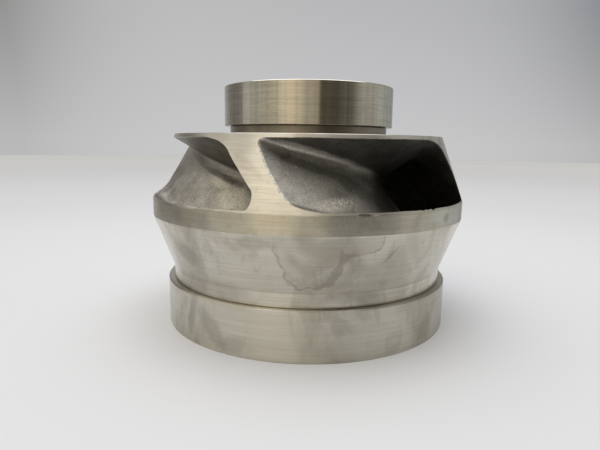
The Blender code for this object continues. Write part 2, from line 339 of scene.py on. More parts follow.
# Impeller casting. One stainless sand casting with hub, two shrouds and four twisted vanes.
# The foundry leaves the passages rough; the lathe then turns the whole outside and the bore.
casting_low, casting_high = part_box("impeller_casting")
front_low, front_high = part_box("front_wear_ring")
back_low, back_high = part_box("back_wear_ring")

# Turned sizes: the band, the rim, the cone between them, the necks and the seats for the rings.
band_radius = casting_high.x
band_top = 79.14 * mm
band_bottom = 68.75 * mm
rim_radius = 85.81 * mm
rim_top = 118.24 * mm
rim_lip = 2.1 * mm
front_neck_radius = 88.03 * mm
front_neck_top = 36.5 * mm
back_neck_radius = 51.0 * mm
seat_gap = 0.3 * mm
front_seat_radius = 84.0 * mm
back_seat_radius = 47.0 * mm
back_seat_sink = 1.5 * mm
spigot_lip = 80.0 * mm
edge_break = 0.25 * mm

# The hub: shaft bore with its keyway, boss, cored pocket round it, nose and balance holes.
bore_radius = 17.0 * mm
keyway_width = 10.0 * mm
keyway_depth = 3.3 * mm
boss_radius = 25.0 * mm
boss_top = 128.0 * mm
pocket_radius = 39.0 * mm
pocket_floor = 93.0 * mm
pocket_draft = 1.5 * mm
pocket_fillet = 4.0 * mm
pocket_turned = 4.0 * mm
pocket_skim = 0.6 * mm
nose_bottom = 30.0 * mm
nose_chamfer = 2.0 * mm
eye_skim = 0.4 * mm
eye_flare_top = 26.0 * mm
balance_holes = 4
balance_hole_radius = 4.5 * mm
balance_hole_circle = 32.5 * mm

# The water passages' two walls, as curves that run in from the outlet and then down to the eye.
passage_floor_edge = 80.3 * mm
hub_slope = math.radians(30.0)
hub_reach = 50.0 * mm
hub_nose_radius = 25.0 * mm
hub_nose_knee = 74.0 * mm
hub_nose_end = 34.0 * mm
shroud_slope = math.radians(43.0)
shroud_reach = 21.0 * mm
eye_radius = 77.0 * mm
eye_knee = 56.0 * mm
eye_end = 34.0 * mm

# The vanes. A wrap is the angle in degrees along a wall: its start, rate, growth and easing.
vane_count = 4
leading_edge_hub = 0.60
leading_edge_shroud = 0.80
hub_wrap = (-17.5, 100.0, 560.0, -585.0)
shroud_wrap = (-3.5, 91.0, 28.0, 0.0)
vane_thickness = 6.5 * mm
tip_extra_hub = 7.5 * mm
tip_extra_shroud = -1.5 * mm
tip_extra_length = 0.3
edge_thickness = 2.5 * mm
edge_taper_start = 0.82
tip_hollow = 1.9 * mm
tip_hollow_length = 0.35

# Corners of a passage in millimetres, round and up: at the outlet and further in, then between
# which shares of the way in they change. Above 1, the flatness cuts a corner back.
corners = {
    "pressure_hub": ((5.5, 4.5), (12.0, 6.5), (0.0, 0.2)),
    "suction_hub": ((16.5, 7.0), (12.0, 6.0), (0.08, 0.35)),
    "suction_shroud": ((10.0, 10.5), (12.0, 6.0), (0.08, 0.35)),
    "pressure_shroud": ((17.0, 7.0), (12.0, 6.0), (0.08, 0.35)),
}
cut_back_flatness = 1.6

# Unevenness of the sand mould: waves per metre, and how far each stands proud in millimetres.
skin_waves = ((55.0, 0.22), (190.0, 0.12), (520.0, 0.06))
skin_step = 2.0 * mm

lathe_steps = 288
passage_steps = 56
arc_steps = 64
side_steps = 12
corner_steps = 8
fillet_steps = 4
throat_steps = 10
nose_steps = 16
core_overrun = 0.14
core_inset = 0.06

cast_skin, turned_cone, turned_front, turned_back, bored_hub = range(5)


def bezier(points, t):
    """Point of a cubic curve in (radius, height), run on straight before its start."""
    p0, p1 = points[:2]
    if t < 0.0:
        return (p0[0] + 3.0 * t * (p1[0] - p0[0]), p0[1] + 3.0 * t * (p1[1] - p0[1]))
    s = 1.0 - t
    weights = (s * s * s, 3.0 * s * s * t, 3.0 * s * t * t, t * t * t)
    radius = sum(w * p[0] for w, p in zip(weights, points))
    height = sum(w * p[1] for w, p in zip(weights, points))
    return (radius, height)


def cone_radius(height):
    """Radius of the turned cone that the vane tips end on."""
    share = (rim_top - height) / (rim_top - band_top)
    return rim_radius + share * (band_radius - rim_radius)


def wall_curve(start_height, slope, reach, radius, knee, end):
    """Wall of the passages from the cone, in at a slope, then down at one radius."""
    start = (cone_radius(start_height), start_height)
    bend = (start[0] - reach * math.cos(slope), start[1] - reach * math.sin(slope))
    return (start, bend, (radius, knee), (radius, end))


hub_curve = wall_curve(
    rim_top - rim_lip, hub_slope, hub_reach, hub_nose_radius, hub_nose_knee, hub_nose_end
)
shroud_curve = wall_curve(passage_floor_edge, shroud_slope, shroud_reach, eye_radius, eye_knee, eye_end)


def sand_relief(point, seed):
    """How far the sand mould left the skin proud or low of its true form at a point."""
    spot = Vector(point) + Vector((seed, 0.0, 0.0))
    return sum(noise.noise(spot * waves) * height * mm for waves, height in skin_waves)


def lathe(name, outline):
    """Turned body: outline points are (radius, height, finish of the face that starts there)."""
    points = []
    for i in range(lathe_steps):
        angle = 2.0 * math.pi * i / lathe_steps
        for radius, height, finish in outline:
            if finish == cast_skin:
                radius += sand_relief(on_circle(radius, angle, height), 3.0)
            points.append(on_circle(radius, angle, height))
    count = len(outline)
    faces = []
    finishes = []
    for i in range(lathe_steps):
        here = i * count
        there = ((i + 1) % lathe_steps) * count
        for j in range(count):
            k = (j + 1) % count
            faces.append((here + j, here + k, there + k, there + j))
            finishes.append(outline[j][2])
    mesh = bpy.data.meshes.new(name)
    mesh.from_pydata(points, [], faces)
    mesh.polygons.foreach_set("material_index", finishes)
    mesh.update()
    return put_in_scene(name, mesh)


def cast_run(start, end):
    """Points down a straight stretch of cast skin, close enough together to be roughened."""
    count = max(1, round(math.dist(start, end) / skin_step))
    return [
        (start[0] + (end[0] - start[0]) * i / count, start[1] + (end[1] - start[1]) * i / count, cast_skin)
        for i in range(count)
    ]


def casting_outline():
    """Section of the casting before its passages are cut, from the top down and back up inside."""
    back_top = back_high.z - back_seat_sink
    back_ledge = back_low.z - seat_gap
    front_ledge = front_high.z + seat_gap
    spigot_end = casting_low.z
    edge = edge_break
    outline = [
        (back_seat_radius - edge, back_top, turned_back),
        (back_seat_radius, back_top - edge, turned_back),
        (back_seat_radius, back_ledge, turned_back),
        (back_neck_radius - edge, back_ledge, turned_back),
        (back_neck_radius, back_ledge - edge, turned_back),
        (back_neck_radius, rim_top, turned_back),
        (rim_radius - edge, rim_top, turned_cone),
        (cone_radius(rim_top - edge), rim_top - edge, turned_cone),
        (band_radius - 0.35 * edge, band_top + edge, turned_cone),
        (band_radius, band_top - edge, turned_front),
        (band_radius, band_bottom + edge, turned_front),
        (band_radius - 0.5 * edge, band_bottom - edge, turned_front),
        (front_neck_radius, front_neck_top, turned_front),
        (front_neck_radius, front_ledge, turned_front),
        (front_seat_radius, front_ledge, turned_front),
        (front_seat_radius, spigot_end, turned_front),
        (spigot_lip, spigot_end, bored_hub),
        (eye_radius + eye_skim, eye_flare_top, bored_hub),
    ]
    for i in range(throat_steps + 1):
        radius, height = bezier(shroud_curve, 1.0 + (leading_edge_shroud - 1.0) * i / throat_steps)
        outline.append((radius + eye_skim, height, bored_hub if i < throat_steps else cast_skin))
    for i in range(nose_steps + 1):
        radius, height = bezier(hub_curve, leading_edge_hub + (1.0 - leading_edge_hub) * i / nose_steps)
        outline.append((radius - eye_skim, height, cast_skin))
    nose_radius = hub_nose_radius - eye_skim
    outline += [
        (nose_radius, nose_bottom + nose_chamfer, bored_hub),
        (nose_radius - nose_chamfer, nose_bottom, bored_hub),
        (bore_radius + 2 * edge, nose_bottom, bored_hub),
        (bore_radius, nose_bottom + 2 * edge, bored_hub),
        (bore_radius, boss_top - 2 * edge, bored_hub),
        (bore_radius + 2 * edge, boss_top, bored_hub),
        (boss_radius - 2 * edge, boss_top, bored_hub),
    ]
    boss_foot = boss_radius + pocket_draft
    pocket_foot = pocket_radius - pocket_draft
    fillet_top = pocket_floor + pocket_fillet
    outline += cast_run((boss_radius, boss_top - 2 * edge), (boss_foot, fillet_top))
    fillets = ((boss_foot + pocket_fillet, math.pi), (pocket_foot - pocket_fillet, 1.5 * math.pi))
    for centre, start in fillets:
        for i in range(fillet_steps + 1):
            angle = start + 0.5 * math.pi * i / fillet_steps
            radius = centre + pocket_fillet * math.cos(angle)
            outline.append((radius, fillet_top + pocket_fillet * math.sin(angle), cast_skin))
    pocket_rim = back_top - pocket_turned
    outline += cast_run((pocket_foot, fillet_top + 0.5 * skin_step), (pocket_radius, pocket_rim))
    outline += [
        (pocket_radius + pocket_skim, pocket_rim, turned_back),
        (pocket_radius + pocket_skim, back_top - 2 * edge, turned_back),
        (pocket_radius + pocket_skim + 2 * edge, back_top, turned_back),
    ]
    return outline


def wrap_angle(wrap, t):
    """Angle of the vane's pressure face, anticlockwise from -Y as seen from above."""
    start, rate, growth, easing = wrap
    if t < 0.0:
        return math.radians(start + rate * t)
    return math.radians(start + rate * t + growth * t * t + easing * t * t * t)


def thickness_along(u, tip_extra):
    """Thickness square to the vane, from its tip (0) to its leading edge (1)."""
    thickness = vane_thickness
    if u < tip_extra_length:
        thickness += tip_extra * (1.0 - max(u, 0.0) / tip_extra_length)
    if u > edge_taper_start:
        share = min((u - edge_taper_start) / (1.0 - edge_taper_start), 1.0)
        thickness = edge_thickness + (thickness - edge_thickness) * math.sqrt(1.0 - share * share)
    return thickness


def vane_width(curve, wrap, t, u, tip_extra):
    """Angle that the vane takes up round the axis at one place on a curve."""
    step = 0.01
    r0, z0 = bezier(curve, t)
    r1, z1 = bezier(curve, t + step)
    along = math.hypot(r1 - r0, z1 - z0)
    around = 0.5 * (r0 + r1) * (wrap_angle(wrap, t + step) - wrap_angle(wrap, t))
    slant = math.atan2(along, around)
    return thickness_along(u, tip_extra) / (r0 * math.sin(slant))


def corner_size(name, u, width, height):
    """A corner's two half axes at one station, as shares of the passage's width and height."""
    outlet, inner, (change_start, change_end) = corners[name]
    share = min(max((u - change_start) / (change_end - change_start), 0.0), 1.0)
    along, across = [a * mm + share * (b * mm - a * mm) for a, b in zip(outlet, inner)]
    return (along / width, across / height)


def between(start, end, steps):
    """Points between two corners, without the two ends."""
    return [
        (start[0] + (end[0] - start[0]) * i / steps, start[1] + (end[1] - start[1]) * i / steps)
        for i in range(1, steps)
    ]


def corner_points(centre, first, second, flatness=1.0):
    """Quarter of an ellipse about its centre, from one half axis to the other; flatter above 1."""
    points = []
    for i in range(corner_steps + 1):
        a = max(math.cos(0.5 * math.pi * i / corner_steps), 0.0) ** flatness
        b = math.sin(0.5 * math.pi * i / corner_steps) ** flatness
        points.append((centre[0] + a * first[0] + b * second[0], centre[1] + a * first[1] + b * second[1]))
    return points


def section_outline(u, width, height):
    """Round-cornered outline, 0 to 1 from pressure to suction face and from hub to shroud."""
    ph, sh, ss, ps = [corner_size(name, u, width, height) for name in corners]
    outline = [(0.0, 0.5)] + between((0.0, 0.5), (0.0, ph[1]), side_steps)
    outline += corner_points(ph, (-ph[0], 0.0), (0.0, -ph[1]))
    outline += between((ph[0], 0.0), (1.0 - sh[0], 0.0), arc_steps)
    outline += corner_points((1.0 - sh[0], sh[1]), (0.0, -sh[1]), (sh[0], 0.0))
    outline += between((1.0, sh[1]), (1.0, 0.5), side_steps) + [(1.0, 0.5)]
    outline += between((1.0, 0.5), (1.0, 1.0 - ss[1]), side_steps)
    outline += corner_points((1.0 - ss[0], 1.0 - ss[1]), (ss[0], 0.0), (0.0, ss[1]), cut_back_flatness)
    outline += between((1.0 - ss[0], 1.0), (ps[0], 1.0), arc_steps)
    outline += corner_points((ps[0], 1.0 - ps[1]), (0.0, ps[1]), (-ps[0], 0.0))
    outline += between((0.0, 1.0 - ps[1]), (0.0, 0.5), side_steps)
    return outline


def passage_section(u, inset):
    """One station of a passage: u runs from the rim (0) to the leading edge (1)."""
    t_hub = u * leading_edge_hub
    t_shroud = u * leading_edge_shroud
    hub_point = bezier(hub_curve, t_hub)
    shroud_point = bezier(shroud_curve, t_shroud)
    pitch = 2.0 * math.pi / vane_count
    hub_first = wrap_angle(hub_wrap, t_hub)
    shroud_first = wrap_angle(shroud_wrap, t_shroud)
    hub_span = pitch - vane_width(hub_curve, hub_wrap, t_hub, u, tip_extra_hub)
    shroud_span = pitch - vane_width(shroud_curve, shroud_wrap, t_shroud, u, tip_extra_shroud)
    width = 0.5 * (hub_point[0] * hub_span + shroud_point[0] * shroud_span)
    height = math.dist(hub_point, shroud_point)
    # The pressure face bows into the vane near its tip, by most half way up.
    bow = min(max(1.0 - u / tip_hollow_length, 0.0), 1.0)
    hollow = 8.0 * tip_hollow / (hub_point[0] + shroud_point[0]) * bow
    points = []
    for p, q in section_outline(u, width, height):
        q = inset + q * (1.0 - 2.0 * inset)
        radius = hub_point[0] + q * (shroud_point[0] - hub_point[0])
        z = hub_point[1] + q * (shroud_point[1] - hub_point[1])
        first = hub_first + q * (shroud_first - hub_first)
        span = hub_span + q * (shroud_span - hub_span)
        angle = first + p * span - (1.0 - p) * hollow * q * (1.0 - q)
        points.append(Vector((radius * math.sin(angle), -radius * math.cos(angle), z)))
    return points


def cap(bm, ring):
    """Close one end of a core with a strip from its hub side to its shroud side."""
    half = len(ring) // 2
    bm.faces.new((ring[0], ring[1], ring[-1]))
    for i in range(1, half - 1):
        bm.faces.new((ring[i], ring[i + 1], ring[-i - 1], ring[-i]))
    bm.faces.new((ring[half - 1], ring[half], ring[half + 1]))


def passage_core(number):
    """Sand core of one passage, with the uneven skin of its own pour."""
    stations = [(-core_overrun, 0.0)]
    for i in range(passage_steps + 1):
        stations.append((-core_overrun + (1.0 + core_overrun) * (i + 1) / (passage_steps + 1), 0.0))
    stations.append((1.0 + core_overrun, core_inset))
    bm = bmesh.new()
    rings = [[bm.verts.new(point) for point in passage_section(u, inset)] for u, inset in stations]
    count = len(rings[0])
    for outer, inner in zip(rings, rings[1:]):
        for i in range(count):
            j = (i + 1) % count
            bm.faces.new((outer[i], outer[j], inner[j], inner[i]))
    cap(bm, rings[0])
    cap(bm, rings[-1])
    bmesh.ops.recalc_face_normals(bm, faces=bm.faces)
    bm.transform(Matrix.Rotation(2.0 * math.pi * number / vane_count, 4, "Z"))
    bm.normal_update()
    moves = [vert.normal * sand_relief(vert.co, 0.0) for vert in bm.verts]
    for vert, move in zip(bm.verts, moves):
        vert.co += move
    bmesh.ops.triangulate(bm, faces=bm.faces)
    return finished_body("passage_core", bm)


def block_cutter(size, centre):
    """A block to be cut out, such as a keyway."""
    bm = bmesh.new()
    bmesh.ops.create_cube(bm, size=1.0)
    bmesh.ops.scale(bm, vec=size, verts=bm.verts)
    bmesh.ops.translate(bm, vec=centre, verts=bm.verts)
    return finished_body("block_cutter", bm)


def drill_cutter(radius, bottom, top, x, y):
    """The space that an upright drilled hole takes up."""
    bm = bmesh.new()
    bmesh.ops.create_cone(
        bm, cap_ends=True, segments=48, radius1=radius, radius2=radius, depth=top - bottom
    )
    bmesh.ops.translate(bm, vec=(x, y, 0.5 * (top + bottom)), verts=bm.verts)
    return finished_body("drill_cutter", bm)


def dent_cutter(angle, radius, height, size):
    """Squashed ball that knocks one dent: angle in degrees from -Y, the rest in millimetres."""
    bm = bmesh.new()
    bmesh.ops.create_icosphere(bm, subdivisions=3, radius=1.0)
    bm.transform(
        Matrix.Rotation(math.radians(angle), 4, "Z")
        @ Matrix.Translation((0.0, -radius * mm, height * mm))
        @ Matrix.Diagonal((size[0] * mm, size[1] * mm, size[2] * mm, 1.0))
    )
    return finished_body("dent_cutter", bm)


def cut_away(obj, cutters, finish_material):
    """Cut shapes out of a body; the new faces get the finish that the cut leaves."""
    for cutter in cutters:
        cutter.data.materials.append(finish_material)
        boolean = obj.modifiers.new("cut", "BOOLEAN")
        boolean.operation = "DIFFERENCE"
        boolean.solver = "MANIFOLD"
        boolean.material_mode = "TRANSFER"
        boolean.object = cutter
    seen_by = bpy.context.evaluated_depsgraph_get()
    result = bpy.data.meshes.new_from_object(obj.evaluated_get(seen_by))
    obj.modifiers.clear()
    obj.data = result
    for cutter in cutters:
        bpy.data.objects.remove(cutter)


def read_all(items, name, width=1, kind=float):
    """One property of all of a mesh's points, faces or loops, with a row for each."""
    values = np.empty(len(items) * width, kind)
    items.foreach_get(name, values)
    return values.reshape(-1, width) if width > 1 else values


def lengths(rows):
    """Length of each row as a column that rows can be divided by."""
    return np.linalg.norm(rows, axis=1)[:, None]


def shade_turned(obj, rough_slots):
    """True round normals on turned faces, and averaged ones within the cast skin."""
    mesh = obj.data
    for polygon in mesh.polygons:
        polygon.use_smooth = True
    points = read_all(mesh.vertices, "co", 3)
    face_normals = read_all(mesh.polygons, "normal", 3)
    face_centres = read_all(mesh.polygons, "center", 3)
    face_areas = read_all(mesh.polygons, "area")
    slots = read_all(mesh.polygons, "material_index", kind=np.int64)
    sizes = read_all(mesh.polygons, "loop_total", kind=np.int64)
    vertex_of_loop = read_all(mesh.loops, "vertex_index", kind=np.int64)
    face_of_loop = np.repeat(np.arange(len(sizes)), sizes)

    rough_loop = np.isin(slots, rough_slots)[face_of_loop]
    summed = np.zeros_like(points)
    weighted = face_normals * face_areas[:, None]
    np.add.at(summed, vertex_of_loop[rough_loop], weighted[face_of_loop[rough_loop]])

    radius = np.hypot(face_centres[:, 0], face_centres[:, 1]).clip(1e-6)
    radial = (face_normals[:, 0] * face_centres[:, 0] + face_normals[:, 1] * face_centres[:, 1]) / radius
    outward = points[vertex_of_loop, :2]
    outward = outward / lengths(outward).clip(1e-6)
    turned = np.empty((len(vertex_of_loop), 3))
    turned[:, :2] = outward * radial[face_of_loop][:, None]
    turned[:, 2] = face_normals[face_of_loop, 2]

    normals = np.where(rough_loop[:, None], summed[vertex_of_loop], turned)
    off_round = np.abs(radial) + np.abs(face_normals[:, 2]) < 0.99
    flat = off_round[face_of_loop] & ~rough_loop
    normals[flat] = face_normals[face_of_loop[flat]]
    normals /= lengths(normals).clip(1e-9)
    mesh.normals_split_custom_set([tuple(normal) for normal in normals])


def new_group(name, inputs, outputs):
    """A shader node group with named number sockets, and the sockets of its two ends."""
    group = bpy.data.node_groups.new(name, "ShaderNodeTree")
    for label, value in inputs.items():
        socket = group.interface.new_socket(label, in_out="INPUT", socket_type="NodeSocketFloat")
        socket.default_value = value
    for label in outputs:
        group.interface.new_socket(label, in_out="OUTPUT", socket_type="NodeSocketFloat")
    start = group.nodes.new("NodeGroupInput")
    end = group.nodes.new("NodeGroupOutput")
    return group, start.outputs, end.inputs


def use_group(tree, group, **inputs):
    """Place a group in a tree; the input called Half Width is set by half_width, and so on."""
    made = tree.nodes.new("ShaderNodeGroup")
    made.node_tree = group
    for key, value in inputs.items():
        socket = made.inputs[key.replace("_", " ").title()]
        if isinstance(value, bpy.types.NodeSocket):
            tree.links.new(value, socket)
        else:
            socket.default_value = value
    return made.outputs


def mottle(tree, where, scale, detail, roughness, swirl=0.0):
    """Cloudy pattern from 0 to 1, tied to places on the object."""
    return place(
        tree,
        "ShaderNodeTexNoise",
        {"Vector": where, "Scale": scale, "Detail": detail, "Roughness": roughness, "Distortion": swirl},
    ).outputs["Fac"]


def evenly(tree, value, low, high):
    """A value drawn out to run from 0 at low to 1 at high."""
    return place(tree, "ShaderNodeMapRange", {"Value": value, "From Min": low, "From Max": high}).outputs[0]


def from_axis(tree, axes):
    """Distance from the impeller's axis."""
    x_squared = times(tree, axes["X"], axes["X"])
    return reckon(tree, "SQRT", reckon(tree, "MULTIPLY_ADD", axes["Y"], axes["Y"], x_squared))


# The lathe's feed marks: lines round the axis that fade in and out, finer ones over broader ones.
feed_marks, given, result = new_group(
    "lathe_feed_marks",
    {"Pitch": 0.9 * mm, "Run": 9.0, "Broad Pitch": 2.6 * mm, "Broad Run": 3.0},
    ("Height", "Streaks", "Lines"),
)
outward_share = 0.6
axes = split(feed_marks, spot_in(feed_marks))
reach = from_axis(feed_marks, axes)
along = reckon(feed_marks, "MULTIPLY_ADD", reach, outward_share, axes["Z"])
east = reckon(feed_marks, "DIVIDE", axes["X"], reach)
north = reckon(feed_marks, "DIVIDE", axes["Y"], reach)
layers = []
for pitch, turns in ((given["Pitch"], given["Run"]), (given["Broad Pitch"], given["Broad Run"])):
    wound = {
        0: times(feed_marks, east, turns),
        1: times(feed_marks, north, turns),
        2: reckon(feed_marks, "DIVIDE", along, pitch),
    }
    wound_at = place(feed_marks, "ShaderNodeCombineXYZ", wound).outputs[0]
    layers.append(mottle(feed_marks, wound_at, 1.0, 3.0, 0.6))
fine, broad = layers
both = reckon(feed_marks, "ADD", times(feed_marks, fine, 0.55), times(feed_marks, broad, 0.45))
feed_marks.links.new(fine, result["Height"])
feed_marks.links.new(evenly(feed_marks, both, 0.36, 0.64), result["Streaks"])
feed_marks.links.new(fade(feed_marks, fine, 0.64, 0.54), result["Lines"])

# Handling marks: soft patches of oil and old coolant that dull and brown the bright metal.
handling, given, result = new_group(
    "handling_smudges",
    {"Size": 30.0, "Cover": 0.5, "Softness": 0.15, "Stretch": 1.0, "Swirl": 1.2},
    ("Mask",),
)
axes = split(handling, spot_in(handling))
squeezed = times(handling, axes["Z"], given["Stretch"])
spot = place(handling, "ShaderNodeCombineXYZ", {0: axes["X"], 1: axes["Y"], 2: squeezed}).outputs[0]
cloud = mottle(handling, spot, given["Size"], 5.0, 0.55, given["Swirl"])
low = reckon(handling, "SUBTRACT", given["Cover"], given["Softness"])
high = reckon(handling, "ADD", given["Cover"], given["Softness"])
handling.links.new(fade(handling, cloud, high, low), result["Mask"])

# A mark in one place: how far a point is from the middle of a ragged blot, which ends at 1. Blots lie
# on the side turned to -Y, and are placed by how far across and how far up they are.
blot, given, result = new_group(
    "blot_in_one_place",
    {
        "Across": 0.0,
        "Up": 0.0,
        "Half Width": 10.0 * mm,
        "Half Height": 10.0 * mm,
        "Slant": 0.0,
        "Rise": 0.0,
        "Taper": 0.0,
        "Squareness": 2.0,
        "Raggedness": 0.2,
        "Ripple": 160.0,
    },
    ("Distance",),
)
here = spot_in(blot)
axes = split(blot, here)
right = reckon(blot, "SUBTRACT", axes["X"], given["Across"])
up = reckon(blot, "SUBTRACT", axes["Z"], given["Up"])
aside = reckon(blot, "SUBTRACT", right, times(blot, up, given["Slant"]))
over = reckon(blot, "SUBTRACT", up, times(blot, right, given["Rise"]))
aside = reckon(blot, "DIVIDE", aside, given["Half Width"])
over = reckon(blot, "DIVIDE", over, given["Half Height"])
below_middle = reckon(blot, "MAXIMUM", times(blot, over, -1.0), 0.0)
aside = times(blot, aside, reckon(blot, "MULTIPLY_ADD", below_middle, given["Taper"], 1.0))
powers = []
for part in (aside, over):
    powers.append(reckon(blot, "POWER", reckon(blot, "ABSOLUTE", part), given["Squareness"]))
root = reckon(blot, "DIVIDE", 1.0, given["Squareness"])
spread = reckon(blot, "POWER", reckon(blot, "ADD", *powers), root)
ripples = reckon(blot, "SUBTRACT", mottle(blot, here, given["Ripple"], 4.0, 0.6), 0.5)
ragged = reckon(blot, "ADD", spread, times(blot, ripples, given["Raggedness"]))
on_back = times(blot, reckon(blot, "GREATER_THAN", axes["Y"], 0.0), 10.0)
blot.links.new(reckon(blot, "ADD", ragged, on_back), result["Distance"])


def blot_at(tree, across, up, half_width, half_height, **shape):
    """How far a point is from the middle of a blot, placed and sized in millimetres."""
    return use_group(
        tree,
        blot,
        across=across * mm,
        up=up * mm,
        half_width=half_width * mm,
        half_height=half_height * mm,
        **shape,
    )["Distance"]


def tint(material, mask, colour):
    """Lay a colour over the base colour that a material has so far, where a mask is 1."""
    tree = material.node_tree
    base = tree.nodes["Principled BSDF"].inputs["Base Color"]
    tree.links.new(mixed(tree, mask, base.links[0].from_socket, colour), base)


def soft_patch(material, place_at, size, colour, strength, raggedness=0.9, **shape):
    """A soft-edged stain at one place, given as (across, up) in millimetres."""
    tree = material.node_tree
    distance = blot_at(tree, *place_at, *size, raggedness=raggedness, ripple=90.0, **shape)
    tint(material, fade(tree, distance, 0.45, 1.15, strength), colour)


def engrave(tree, shader, height, depth):
    """Give a surface the relief of a pattern, at its real depth."""
    bump = place(tree, "ShaderNodeBump", {"Height": height, "Distance": depth, "Strength": 1.0})
    tree.links.new(bump.outputs["Normal"], shader.inputs["Normal"])


def facing_up(tree):
    """How far a face is turned up: 1 for a level top, 0 for an upright side."""
    return split(tree, place(tree, "ShaderNodeNewGeometry").outputs["Normal"])["Z"]


feed_depth = 0.008 * mm
broad_pitch = 3.1
broad_run = 0.35
line_tone = 0.75
smudge_softness = 0.12
smudge_roughness = 0.08
wiped_size = 2.2
wiped_swirl = 2.2
wiped_softness = 0.07
wiped_extra_cover = 0.05
wiped_tone = (0.27, 0.245, 0.20)
wiped_strength = 0.26


def turned_steel(
    name,
    bright,
    dull,
    roughness,
    smudge_size,
    cover,
    stretch=0.6,
    pitch=0.45 * mm,
    run_length=4.0,
    streak=0.11,
    line_strength=0.22,
):
    """Bright turned stainless: feed marks, streaky tone, and brown smudges that dull it."""
    material, tree, shader = new_material(name)
    marks = use_group(
        tree,
        feed_marks,
        pitch=pitch,
        run=run_length,
        broad_pitch=broad_pitch * pitch,
        broad_run=broad_run * run_length,
    )
    smudge = use_group(
        tree, handling, size=smudge_size, cover=cover, softness=smudge_softness, stretch=stretch
    )["Mask"]
    streaky = reckon(tree, "MULTIPLY_ADD", marks["Streaks"], 2.0 * streak, 1.0 - streak)
    tree.links.new(scaled(tree, mixed(tree, smudge, bright, dull), streaky), shader.inputs["Base Color"])
    tint(material, times(tree, marks["Lines"], line_strength), tuple(line_tone * part for part in dull))
    wiped = use_group(
        tree,
        handling,
        size=wiped_size * smudge_size,
        cover=cover + wiped_extra_cover,
        softness=wiped_softness,
        stretch=stretch,
        swirl=wiped_swirl,
    )["Mask"]
    tint(material, times(tree, wiped, wiped_strength), wiped_tone)
    greasy = reckon(tree, "MULTIPLY_ADD", smudge, smudge_roughness, roughness)
    tree.links.new(greasy, shader.inputs["Roughness"])
    engrave(tree, shader, marks["Height"], feed_depth)
    shader.inputs["Metallic"].default_value = 1.0
    shader.inputs["Anisotropic"].default_value = 0.8
    shader.inputs["Anisotropic Rotation"].default_value = 0.25
    around = place(tree, "ShaderNodeTangent", direction_type="RADIAL", axis="Z").outputs[0]
    tree.links.new(around, shader.inputs["Tangent"])
    return material


faced_tone = (0.32, 0.305, 0.275)


def faced_top(material, cover, extra_roughness):
    """Coarser, duller facing on the ends that are turned up."""
    tree = material.node_tree
    faced = fade(tree, facing_up(tree), 0.98, 0.90)
    tint(material, times(tree, faced, cover), faced_tone)
    roughness = tree.nodes["Principled BSDF"].inputs["Roughness"]
    below = roughness.links[0].from_socket
    tree.links.new(reckon(tree, "MULTIPLY_ADD", faced, extra_roughness, below), roughness)


# The sand casting's skin: grey steel with the grain of the mould, small pits and nodules.
sand_skin, given, result = new_group(
    "sand_cast_grain",
    {"Grain": 850.0, "Blotch": 70.0, "Pit Spacing": 330.0},
    ("Height", "Speckle", "Blotches", "Pits", "Nodules"),
)
here = spot_in(sand_skin)
grains = mottle(sand_skin, here, given["Grain"], 3.0, 0.75)
blotches = mottle(sand_skin, here, given["Blotch"], 6.0, 0.6)
cells = place(sand_skin, "ShaderNodeTexVoronoi", {"Vector": here, "Scale": given["Pit Spacing"]}).outputs
chance = place(sand_skin, "ShaderNodeSeparateColor", {0: cells["Color"]}).outputs["Red"]
speck = fade(sand_skin, cells["Distance"], 0.06, 0.20)
pits = times(sand_skin, speck, reckon(sand_skin, "GREATER_THAN", chance, 0.72))
nodules = times(sand_skin, speck, reckon(sand_skin, "LESS_THAN", chance, 0.12))
proud = reckon(sand_skin, "ADD", grains, nodules)
for label, value in (
    ("Height", reckon(sand_skin, "SUBTRACT", proud, times(sand_skin, pits, 1.5))),
    ("Speckle", evenly(sand_skin, grains, 0.36, 0.64)),
    ("Blotches", evenly(sand_skin, blotches, 0.34, 0.66)),
    ("Pits", pits),
    ("Nodules", nodules),
):
    sand_skin.links.new(value, result[label])

cast_dark = (0.16, 0.155, 0.142)
cast_light = (0.37, 0.355, 0.325)
dust_and_highlight_colour = (0.76, 0.72, 0.63)
pit_colour = (0.05, 0.047, 0.04)
crease_shade_colour = (0.055, 0.05, 0.042)
burr_colour = (0.85, 0.80, 0.70)
skin_depth = 0.09 * mm
thin_dust = 0.22
pit_strength = 0.7
nodule_strength = 0.5
flake_strength = 0.70

cast_steel, tree, shader = new_material("sand_cast_steel")
grain = use_group(tree, sand_skin)
shade = reckon(tree, "MULTIPLY_ADD", grain["Blotches"], 0.5, 0.075)
shade = reckon(tree, "MULTIPLY_ADD", grain["Speckle"], 0.35, shade)
tree.links.new(ramp(tree, shade, [(0.15, cast_dark), (0.85, cast_light)]), shader.inputs["Base Color"])
here = spot_in(tree)
axes = split(tree, here)

# Pale dust settles on faces turned up, low in the mouths, and lies thicker in a few places. Two thin
# slanting streaks in the list, along the ridges where the vanes meet the hub, are painted highlights in the
# same pale colour.
dust_floor = 82.0 * mm
dust_top = 100.0 * mm
dust_and_highlight_patches = [
    # across, up, half width, half height, rise, strength
    (-42.0, 81.0, 14.0, 9.0, 0.0, 0.95),
    (-52.0, 89.5, 9.0, 4.5, -0.3, 0.95),
    # painted highlight along the vane's ridge in the left mouth
    (-54.0, 99.5, 13.0, 2.2, -0.34, 0.30),
    (13.0, 82.5, 14.0, 4.5, 0.0, 0.50),
    (2.0, 90.0, 14.0, 10.0, 0.0, 0.15),
    # painted highlight along the vane's ridge in the right mouth
    (2.0, 109.2, 30.0, 2.4, -0.27, 0.65),
]
settled = times(tree, fade(tree, facing_up(tree), 0.60, 0.15), fade(tree, axes["Z"], dust_floor, dust_top))
dust_and_highlights = times(tree, settled, grain["Blotches"], thin_dust)
